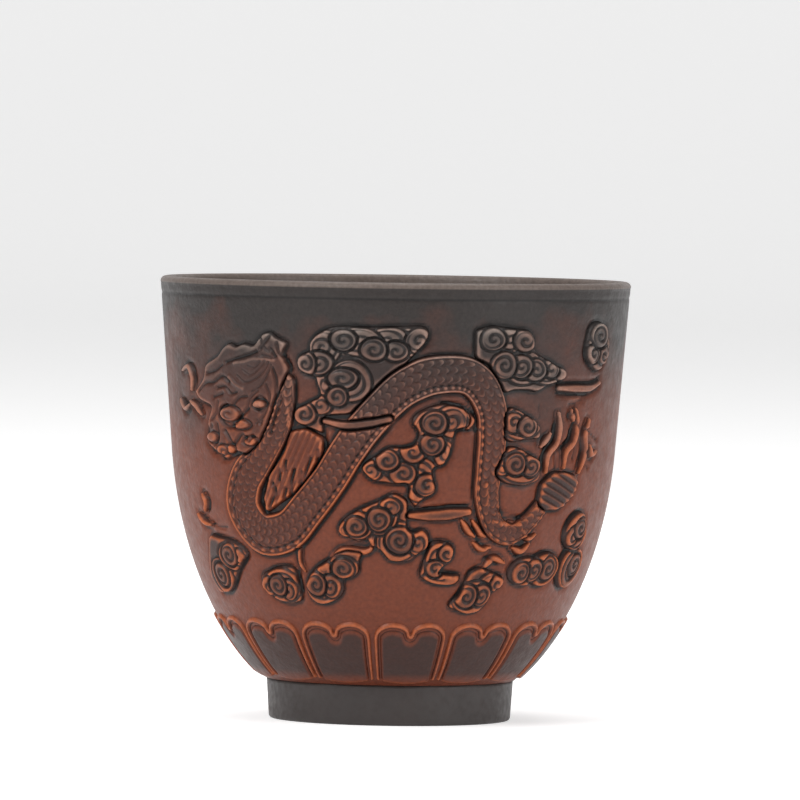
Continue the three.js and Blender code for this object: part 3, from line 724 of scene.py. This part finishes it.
@functools.cache
def petal_sheet():
    """One lotus petal on the unrolled wall: a rounded rim along its sides and its two lobes, a cut
    line inside it, and a full leaf in its middle. The foot of it is cut by a shallow bow."""
    half = math.pi / PETALS * RELIEF_RADIUS - PETAL_GAP
    sheet = Sheet((-half - 0.9, 6.42), (half + 0.9, 18), 0.17)
    s = np.linspace(-1, 1, 81)
    off = np.abs(s) * half - LOBE_PEAK
    inner = PETAL_NOTCH + (PETAL_TOP - PETAL_NOTCH) * quarter(off / LOBE_PEAK)
    outer = PETAL_SIDE + (PETAL_TOP - PETAL_SIDE) * quarter(off / (half - LOBE_PEAK))
    lobes = np.stack([s * half, np.where(off < 0, inner, outer)], 1)
    edge = np.vstack([lobes, [[half, 2.0], [-half, 2.0]]])
    inside = sheet.inside(edge)
    bow = PETAL_FOOT + PETAL_BOW * (sheet.across[:, None] / half) ** 2
    shown = np.minimum(inside, sheet.up[None] - bow)
    rise = sizes().petal / MM
    rim = rise * bell(inside - PETAL_RIM, 0.42)
    leaf = rise * 0.85 * smooth((inside - PETAL_LEAF) / 0.8)
    carved = np.maximum(rim, leaf) - 0.22 * bell(inside - PETAL_CUT, 0.22)
    height = raised(shown, 0.05) + smooth(shown / 0.4) * carved
    # Painted highlight along the petal's rim, and painted shade in its cut line
    painted_light = 0.3 * bell(inside - 0.5, 0.34) - 0.4 * bell(inside - PETAL_CUT, 0.26)
    # A painted highlight along the petal's foot
    foot = 0.22 * bell(sheet.up[None] - bow - 0.3, 0.3)
    dark = smooth((inside - 1.5) / 0.8) * smooth((sheet.up[None] - 7.4) / 1.5)
    return sheet, shown, height, smooth((shown + 0.3) / 0.3) * painted_light + foot, dark


def make_piece(name, points, faces, values, material, nodes=()):
    """One piece of the part: a smooth mesh with its values, its material, and the nodes it stands for."""
    mesh = bpy.data.meshes.new(name)
    mesh.from_pydata(points.tolist(), [], faces)
    mesh.polygons.foreach_set("use_smooth", np.ones(len(faces), bool))
    for key, value in values.items():
        mesh.attributes.new(key, "FLOAT", "POINT").data.foreach_set("value", value.ravel())
    mesh.update()
    mesh.materials.append(material)
    piece = bpy.data.objects.new(name, mesh)
    bpy.context.scene.collection.objects.link(piece)
    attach(piece, ROOT)
    if nodes:
        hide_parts(*nodes)
    return piece


def kept_cells(shown):
    """The cells of a form: those near its inside, with cells that touch by a corner alone joined."""
    near = shown > 0.12
    for _ in range(EDGE_CELLS):
        wide = np.pad(near, 1)
        near = wide[:-2, 1:-1] | wide[2:, 1:-1] | wide[1:-1, :-2] | wide[1:-1, 2:] | near
    near &= shown > -0.6
    keep = near[:-1, :-1] & near[1:, :-1] & near[:-1, 1:] & near[1:, 1:]
    for _ in range(4):
        a, b, c, d = keep[:-1, :-1], keep[1:, :-1], keep[1:, 1:], keep[:-1, 1:]
        b |= a & c & ~b & ~d
        a |= b & d & ~a & ~c
    return keep


def carve(name, sheet, shown, height, values, turn, nodes):
    """A closed piece over the kept cells: its top at the carved height, its underside inside the
    wall, and an edge between them wherever a cell has no neighbour."""
    keep = kept_cells(shown)
    n, m = sheet.shape
    index = np.arange(n * m).reshape(n, m)
    a, b, c, d = index[:-1, :-1], index[1:, :-1], index[1:, 1:], index[:-1, 1:]
    faces = [np.stack([a, b, c, d], -1)[keep], np.stack([d, c, b, a], -1)[keep] + n * m]
    room = np.pad(keep, 1)
    for i, j, p, q in ((-1, 0, d, a), (1, 0, b, c), (0, -1, a, b), (0, 1, c, d)):
        alone = keep & ~room[1 + i : n + i, 1 + j : m + j]
        faces.append(np.stack([q[alone], p[alone], p[alone] + n * m, q[alone] + n * m], -1))
    used, faces = np.unique(np.vstack(faces), return_inverse=True)
    i, j = np.divmod(used % (n * m), m)
    lift = np.where(used < n * m, height[i, j], -UNDERSIDE)
    points = on_wall(np.degrees(sheet.across[i] / RELIEF_RADIUS) + turn, sheet.up[j], lift)
    values = {key: field[i, j] for key, field in values.items()}
    quads = faces.reshape(-1, 4).tolist()
    return make_piece(name, points, quads, values, burnished_clay(), nodes)


def carve_forms(wanted):
    """Carves the forms whose names begin as wanted, on both sides of the cup."""
    sheet, forms, _, painted_light = carving()
    for side, turn in SIDES.items():
        for name, shown, height in forms:
            if name.startswith(wanted):
                # Each piece carries the carving's painted highlight and shade, and how sooty its top is
                values = {"painted_light": painted_light, "carved": np.full(sheet.shape, SOOT.get(name, 1.0))}
                node = f"{side}_{name}"
                nodes = [node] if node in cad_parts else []
                carve(f"{node}_carving", sheet, shown, height, values, turn, nodes)


def turned(profile, steps):
    """A profile of radius and height turned round the axis, as rows of points in metres."""
    turn = np.linspace(0, 2 * math.pi, steps, endpoint=False)
    p = np.array(profile, float)
    ring = np.stack([np.sin(turn), -np.cos(turn)], -1)
    reach = p[:, None, 0, None] * ring[None]
    rise = np.broadcast_to(p[:, None, 1, None], (*reach.shape[:2], 1))
    return MM * np.concatenate([reach, rise], -1)


def turned_mesh(rows, closed):
    """Rows of points round the axis as a closed mesh: a closed profile joins its last row to its
    first, and an open one is shut at both ends by a fan to the row's middle."""
    n, m = rows.shape[:2]
    index = np.arange(n * m).reshape(n, m)
    after = np.roll(index, -1, 1)
    if closed:
        quads = np.stack([index, after, np.roll(after, -1, 0), np.roll(index, -1, 0)], -1)
        return rows.reshape(-1, 3), quads.reshape(-1, 4).tolist()
    quads = np.stack([index[:-1], after[:-1], after[1:], index[1:]], -1).reshape(-1, 4).tolist()
    first = np.stack([after[0], index[0], np.full(m, n * m)], -1).tolist()
    last = np.stack([index[-1], after[-1], np.full(m, n * m + 1)], -1).tolist()
    ends = np.stack([rows[0].mean(0), rows[-1].mean(0)])
    return np.vstack([rows.reshape(-1, 3), ends]), quads + first + last


def thickness(height):
    share = smooth((CUP_HEIGHT - height) / THINNING)
    return 2 * LIP_RADIUS + (WALL - 2 * LIP_RADIUS) * share


def inner_line(spacing):
    """The inside of the wall: the outside moved in by the wall's thickness, and a cove to the floor."""
    kept = WALL_LINE[:, 1] > INNER_START
    line, way = WALL_LINE[kept][::spacing], WALL_WAY[kept][::spacing]
    wall = line - thickness(line[:, 1])[:, None] * np.stack([way[:, 1], -way[:, 0]], 1)
    wall = wall[wall[:, 1] < GLAZE_TOP]
    back = wall[0] - wall[1]
    corner = wall[0] + back * (wall[0, 1] - FLOOR_TOP) / -back[1]
    reach = (wall[0, 1] - FLOOR_TOP) * COVE
    t = np.linspace(0, 1, 12)[:-1, None]
    cove = (1 - t) ** 2 * np.array([corner[0] - reach, FLOOR_TOP])
    cove = cove + 2 * t * (1 - t) * corner + t**2 * wall[0]
    floor = np.stack([np.linspace(0.4, corner[0] - reach, 10)[:-1], np.full(9, FLOOR_TOP)], 1)
    return np.vstack([floor, cove, wall])


def add_node(tree, kind, settings=None, **links):
    """Adds a node with its settings, and sets or links its inputs, by name or as i and a number."""
    node = tree.nodes.new(kind)
    for key, value in (settings or {}).items():
        setattr(node, key, value)
    for key, value in links.items():
        socket = node.inputs[int(key[1:])] if key[0] == "i" else node.inputs[key.replace("_", " ")]
        if isinstance(value, bpy.types.NodeSocket):
            tree.links.new(value, socket)
        else:
            socket.default_value = value
    return node


def new_material(name):
    material = bpy.data.materials.new(name)
    material.use_nodes = True
    tree = material.node_tree
    tree.nodes.clear()
    return material, tree


def ramp(tree, value, low, high, start=0.0, end=1.0):
    """The value's place between low and high, carried over to start and end."""
    places = {"From_Min": low, "From_Max": high, "To_Min": start, "To_Max": end}
    return add_node(tree, "ShaderNodeMapRange", Value=value, **places).outputs[0]


def mix(tree, share, a, b, blend="MIX"):
    settings = {"data_type": "RGBA", "blend_type": blend}
    return add_node(tree, "ShaderNodeMix", settings, i0=share, i6=a, i7=b).outputs[2]


def grey(tree, value):
    return add_node(tree, "ShaderNodeCombineColor", i0=value, i1=value, i2=value).outputs[0]


def burnished_clay():
    """Unglazed stoneware, moulded, cut and burnished with soot and wax: a satin surface with fine
    pores, rust red low down and smoked grey near the rim, with painted shade in the cut lines and
    beside the forms, and a painted highlight on the edges."""
    if "burnished_stoneware" in bpy.data.materials:
        return bpy.data.materials["burnished_stoneware"]
    material, tree = new_material("burnished_stoneware")
    hue = colours()
    place = add_node(tree, "ShaderNodeTexCoord").outputs["Object"]
    height = add_node(tree, "ShaderNodeSeparateXYZ", i0=place).outputs[2]
    # The painted highlight and shade that each piece carries as a value
    painted_light = add_node(tree, "ShaderNodeAttribute", {"attribute_name": "painted_light"}).outputs["Fac"]
    carved = add_node(tree, "ShaderNodeAttribute", {"attribute_name": "carved"}).outputs["Fac"]
    # Blotches of the smoke about 11 mm wide, leathery dimples of 1.6 mm and pores of 0.6 mm
    blotch = add_node(tree, "ShaderNodeTexNoise", Vector=place, Scale=90.0, Detail=4.0).outputs["Fac"]
    dimple = add_node(tree, "ShaderNodeTexNoise", Vector=place, Scale=620.0, Detail=3.0).outputs["Fac"]
    pore = add_node(tree, "ShaderNodeTexNoise", Vector=place, Scale=1700.0, Detail=3.0).outputs["Fac"]
    sway = add_node(tree, "ShaderNodeMath", {"operation": "MULTIPLY_ADD"}, i0=blotch, i1=0.03, i2=height)
    smoke = ramp(tree, sway.outputs[0], 0.056, 0.079)
    ground = mix(tree, smoke, hue.clay, hue.smoke)
    tops = mix(tree, smoke, hue.carved, hue.smoked)
    # The painted highlight's colour: rust low down, grey near the rim
    edge_highlight = mix(tree, smoke, hue.ridge, hue.smoked_highlight)
    base = mix(tree, carved, ground, tops)
    # Painted highlight where a place stands above its surroundings
    base = mix(tree, ramp(tree, painted_light, 0.07, 0.34), base, edge_highlight)
    # Painted shade where a place lies below its surroundings
    base = mix(tree, ramp(tree, painted_light, -0.04, -0.26), base, hue.recess_shade)
    base = mix(tree, 0.8, base, grey(tree, ramp(tree, pore, 0.3, 0.7, 0.75, 1.15)), "MULTIPLY")
    relief = add_node(tree, "ShaderNodeMath", {"operation": "MULTIPLY_ADD"}, i0=dimple, i1=1.4, i2=pore)
    bump = add_node(tree, "ShaderNodeBump", Strength=0.5, Distance=0.00012, Height=relief.outputs[0])
    shader = add_node(
        tree,
        "ShaderNodeBsdfPrincipled",
        Base_Color=base,
        Roughness=ramp(tree, dimple, 0.3, 0.7, 0.38, 0.52),
        IOR=1.5,
        Specular_IOR_Level=0.34,
        Normal=bump.outputs[0],
    )
    add_node(tree, "ShaderNodeOutputMaterial", Surface=shader.outputs[0])
    return material


def plain_clay(name, colour, low, high):
    """The same clay without relief: a wiped foot, or a thin clear glaze, with a faint grain."""
    material, tree = new_material(name)
    place = add_node(tree, "ShaderNodeTexCoord").outputs["Object"]
    grain = add_node(tree, "ShaderNodeTexNoise", Vector=place, Scale=900.0, Detail=3.0).outputs["Fac"]
    cloud = add_node(tree, "ShaderNodeTexNoise", Vector=place, Scale=110.0, Detail=3.0).outputs["Fac"]
    base = mix(tree, 1.0, colour, grey(tree, ramp(tree, cloud, 0.3, 0.7, 0.82, 1.1)), "MULTIPLY")
    bump = add_node(tree, "ShaderNodeBump", Strength=0.25, Distance=0.00008, Height=grain)
    rough = ramp(tree, grain, 0.3, 0.7, low, high)
    shader = add_node(
        tree, "ShaderNodeBsdfPrincipled", Base_Color=base, Roughness=rough, IOR=1.5, Normal=bump.outputs[0]
    )
    add_node(tree, "ShaderNodeOutputMaterial", Surface=shader.outputs[0])
    return material


def paper():
    """Seamless studio paper: matt, and white where the camera or a gloss sees it."""
    material, tree = new_material("studio_paper")
    tone = colours().paper
    soft = add_node(tree, "ShaderNodeBsdfDiffuse", Color=tone)
    glow = add_node(tree, "ShaderNodeEmission", Color=tone, Strength=0.55)
    path = add_node(tree, "ShaderNodeLightPath").outputs
    seen = add_node(
        tree, "ShaderNodeMath", {"operation": "ADD"}, i0=path["Is Camera Ray"], i1=path["Is Glossy Ray"]
    )
    dark = add_node(tree, "ShaderNodeEmission", Strength=0.0)
    pick = add_node(tree, "ShaderNodeMixShader", i0=seen.outputs[0], i1=dark.outputs[0], i2=glow.outputs[0])
    both = add_node(tree, "ShaderNodeAddShader", i0=soft.outputs[0], i1=pick.outputs[0])
    add_node(tree, "ShaderNodeOutputMaterial", Surface=both.outputs[0])
    return material


def lamp(name, place, size, power):
    """A square softbox that faces the middle of the cup."""
    light = bpy.data.lights.new(name, "AREA")
    light.size = size
    light.energy = power
    body = bpy.data.objects.new(name, light)
    bpy.context.scene.collection.objects.link(body)
    body.location = place
    body.rotation_euler = (Vector((0, 0, 0.035)) - Vector(place)).to_track_quat("-Z", "Y").to_euler()


class CUP_OT_bowl(bpy.types.Operator):
    """Turns the bowl: its wall with the cuts beside the carving, its lip, its inside and its base."""

    bl_idname = "cup.bowl"
    bl_label = "Bowl"

    def execute(self, context):
        steps = context.scene.cup_sizes.turn
        sheet, _, wall, painted_light = carving()
        below, above = np.linspace(6.45, 17.4, 8), np.linspace(65.6, 68.9, 12)
        height = np.concatenate([below, np.linspace(17.7, 65.3, 116), above])[:, None]
        angle = np.linspace(0, 360, steps, endpoint=False)[None]
        groove = -0.1 * bell(height - GROOVE_HEIGHT, 0.25)
        outer = on_wall(angle, height, sheet.sample(wall, angle, height) + groove)
        turn = np.linspace(0.1, math.pi, 14)
        lip_middle = RIM_EDGE[0] - LIP_RADIUS
        lip = np.stack(
            [lip_middle + LIP_RADIUS * np.cos(turn), CUP_HEIGHT - LIP_RADIUS + LIP_RADIUS * np.sin(turn)], 1
        )
        base = np.stack([np.linspace(0.5, FOOT_OUTER[1], 4), np.full(4, FOOT_TOP)], 1)
        inside = inner_line(16)[::-1]
        rows = np.concatenate([turned(base, steps), outer, turned(np.vstack([lip, inside]), steps)])
        values = np.zeros((len(rows), steps))
        start, end = len(base), len(base) + len(height)
        # Painted light on the outer wall: the carving's painted highlight and shade, and painted shade in
        # the groove under the lip
        values[start:end] = sheet.sample(painted_light, angle, height) + 2.2 * groove
        # A painted highlight along the lip
        values[end : end + len(lip)] = 0.2
        points, faces = turned_mesh(rows, False)
        painted_light = np.concatenate([values.ravel(), [0, 0]])
        values = {"painted_light": painted_light, "carved": np.zeros(len(painted_light))}
        make_piece("clay_bowl", points, faces, values, burnished_clay(), ["bowl"])
        return {"FINISHED"}


class CUP_OT_foot(bpy.types.Operator):
    """Turns the foot ring, with its edges rounded as by wear."""

    bl_idname = "cup.foot"
    bl_label = "Foot ring"

    def execute(self, context):
        turn = np.linspace(0, math.pi / 2, 6)
        out, up = FOOT_ROUND * (1 - np.sin(turn)), FOOT_ROUND * (1 - np.cos(turn))
        outer = np.stack([FOOT_OUTER[0] - out, up], 1)
        inner = np.stack([FOOT_INNER[0] + out, up], 1)[::-1]
        rise = np.linspace(0.7, FOOT_TOP, 12)
        wall = np.stack([np.linspace(FOOT_OUTER[0] + 0.02, FOOT_OUTER[1], 12), rise], 1)
        hole = np.stack([np.linspace(FOOT_INNER[0] + 0.02, FOOT_INNER[1], 12), rise], 1)[::-1]
        points, faces = turned_mesh(turned(np.vstack([outer, wall, hole, inner]), 192), True)
        material = plain_clay("wiped_clay", colours().foot, 0.4, 0.62)
        make_piece("foot_band", points, faces, {}, material, ["foot_ring"])
        return {"FINISHED"}


class CUP_OT_lining(bpy.types.Operator):
    """Lays the thin glaze over the inside of the bowl."""

    bl_idname = "cup.lining"
    bl_label = "Glaze lining"

    def execute(self, context):
        under = inner_line(5)
        way = np.gradient(under, axis=0)
        way /= np.linalg.norm(way, axis=1)[:, None]
        side = np.stack([-way[:, 1], way[:, 0]], 1)
        fade = np.clip((len(under) - 1 - np.arange(len(under))) / 4, 0.1, 1)[:, None]
        over, low = under + GLAZE * fade * side, under - GLAZE_BED * side
        over[0, 0] = low[0, 0] = 0.4
        points, faces = turned_mesh(turned(np.vstack([low, over[::-1]]), 256), False)
        material = plain_clay("clear_glaze", colours().glaze, 0.16, 0.3)
        make_piece("inner_glaze_coat", points, faces, {}, material, ["glaze_lining"])
        return {"FINISHED"}


class CUP_OT_petals(bpy.types.Operator):
    """Carves the fourteen lotus petals round the foot."""

    bl_idname = "cup.petals"
    bl_label = "Lotus petals"

    first: FloatProperty(
        name="First",
        description="Place of the first petal",
        default=math.radians(FIRST_PETAL),
        subtype="ANGLE",
        unit="ROTATION",
    )

    def execute(self, context):
        sheet, shown, height, painted_light, dark = petal_sheet()
        # The petals carry their painted highlight and shade, and how dark their leaves are
        values = {"painted_light": painted_light, "carved": dark}
        for i in range(PETALS):
            turn = math.degrees(self.first) + 360 * i / PETALS
            carve(f"petal_{i + 1}", sheet, shown, height, values, turn, [f"lotus_petal_{i + 1}"])
        return {"FINISHED"}


class CUP_OT_clouds(bpy.types.Operator):
    """Carves the cloud banks, the scroll, the ribbon and the loose strands on both sides."""

    bl_idname = "cup.clouds"
    bl_label = "Clouds"

    def execute(self, context):
        carve_forms(("cloud", "scroll", "strands"))
        return {"FINISHED"}


class CUP_OT_dragon(bpy.types.Operator):
    """Carves the dragon on both sides: body, head, mane, leg and tail."""

    bl_idname = "cup.dragon"
    bl_label = "Dragon"

    def execute(self, context):
        carve_forms("dragon")
        return {"FINISHED"}


class CUP_OT_stage(bpy.types.Operator):
    """Sets the floor, the backdrop, soft lights and the camera."""

    bl_idname = "cup.stage"
    bl_label = "Stage"

    def execute(self, context):
        scene = context.scene
        rows = 40
        s = np.linspace(0, 1, rows)
        bend = np.clip((s - 0.45) / 0.2, 0, 1) * math.pi / 2
        y = np.where(s < 0.45, -4.0 + s / 0.45 * 7.0, 3.0 + 0.5 * np.sin(bend))
        z = np.where(s < 0.45, 0.0, 0.5 - 0.5 * np.cos(bend)) + np.clip((s - 0.65) / 0.35, 0, 1) * 2.5
        points = np.stack([np.tile([-4.0, 4.0], rows), np.repeat(y, 2), np.repeat(z, 2)], 1)
        index = np.arange(2 * rows - 2)[::2]
        quads = np.stack([index, index + 1, index + 3, index + 2], 1)
        mesh = bpy.data.meshes.new("paper_sweep")
        mesh.from_pydata(points.tolist(), [], quads.tolist())
        mesh.polygons.foreach_set("use_smooth", np.ones(rows - 1, bool))
        mesh.materials.append(paper())
        floor = bpy.data.objects.new("paper_sweep", mesh)
        scene.collection.objects.link(floor)
        world = bpy.data.worlds.new("studio")
        scene.world = world
        world.use_nodes = True
        tree = world.node_tree
        tree.nodes.clear()
        white = (1, 1, 1, 1)
        light = add_node(tree, "ShaderNodeBackground", Color=white, Strength=DAYLIGHT)
        view = add_node(tree, "ShaderNodeBackground", Color=white, Strength=1.0)
        path = add_node(tree, "ShaderNodeLightPath").outputs
        pick = add_node(
            tree, "ShaderNodeMixShader", i0=path["Is Camera Ray"], i1=light.outputs[0], i2=view.outputs[0]
        )
        add_node(tree, "ShaderNodeOutputWorld", Surface=pick.outputs[0])
        for name, (place, size, power) in LAMPS.items():
            lamp(name, place, size, power)
        camera = bpy.data.cameras.new("camera")
        camera.lens = LENS
        camera.sensor_width = 36.0
        camera.clip_end = 20
        eye = bpy.data.objects.new("camera", camera)
        scene.collection.objects.link(eye)
        place = Vector(CAMERA)
        tilt = math.atan2(place.z - AIM_HEIGHT, -place.y)
        look = Matrix.Rotation(math.pi / 2 - tilt, 4, "X") @ Matrix.Rotation(math.radians(ROLL), 4, "Z")
        eye.matrix_world = Matrix.Translation(place) @ look
        scene.camera = eye
        scene.view_settings.view_transform = "Standard"
        return {"FINISHED"}


class CUP_PT_panel(bpy.types.Panel):
    """Lists the cup's makers in the sidebar."""

    bl_idname = "CUP_PT_panel"
    bl_label = "Tea Cup"
    bl_space_type = "VIEW_3D"
    bl_region_type = "UI"
    bl_category = "Tea Cup"

    def draw(self, context):
        for maker in MAKERS:
            self.layout.operator(maker.bl_idname)
        for group in (context.scene.cup_sizes, context.scene.cup_colours):
            for name in group.__annotations__:
                self.layout.prop(group, name)


MAKERS = [
    CUP_OT_bowl,
    CUP_OT_foot,
    CUP_OT_lining,
    CUP_OT_petals,
    CUP_OT_clouds,
    CUP_OT_dragon,
    CUP_OT_stage,
]
CLASSES = [CupSizes, CupColours, *MAKERS, CUP_PT_panel]


def register():
    for item in CLASSES:
        bpy.utils.register_class(item)
    bpy.types.Scene.cup_sizes = PointerProperty(type=CupSizes)
    bpy.types.Scene.cup_colours = PointerProperty(type=CupColours)


def unregister():
    del bpy.types.Scene.cup_sizes
    del bpy.types.Scene.cup_colours
    for item in reversed(CLASSES):
        bpy.utils.unregister_class(item)


def main():
    register()
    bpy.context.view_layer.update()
    bpy.ops.cup.stage()
    bpy.ops.cup.bowl()
    bpy.ops.cup.foot()
    bpy.ops.cup.lining()
    bpy.ops.cup.petals()
    bpy.ops.cup.clouds()
    bpy.ops.cup.dragon()


if __name__ == "__main__":
    main()
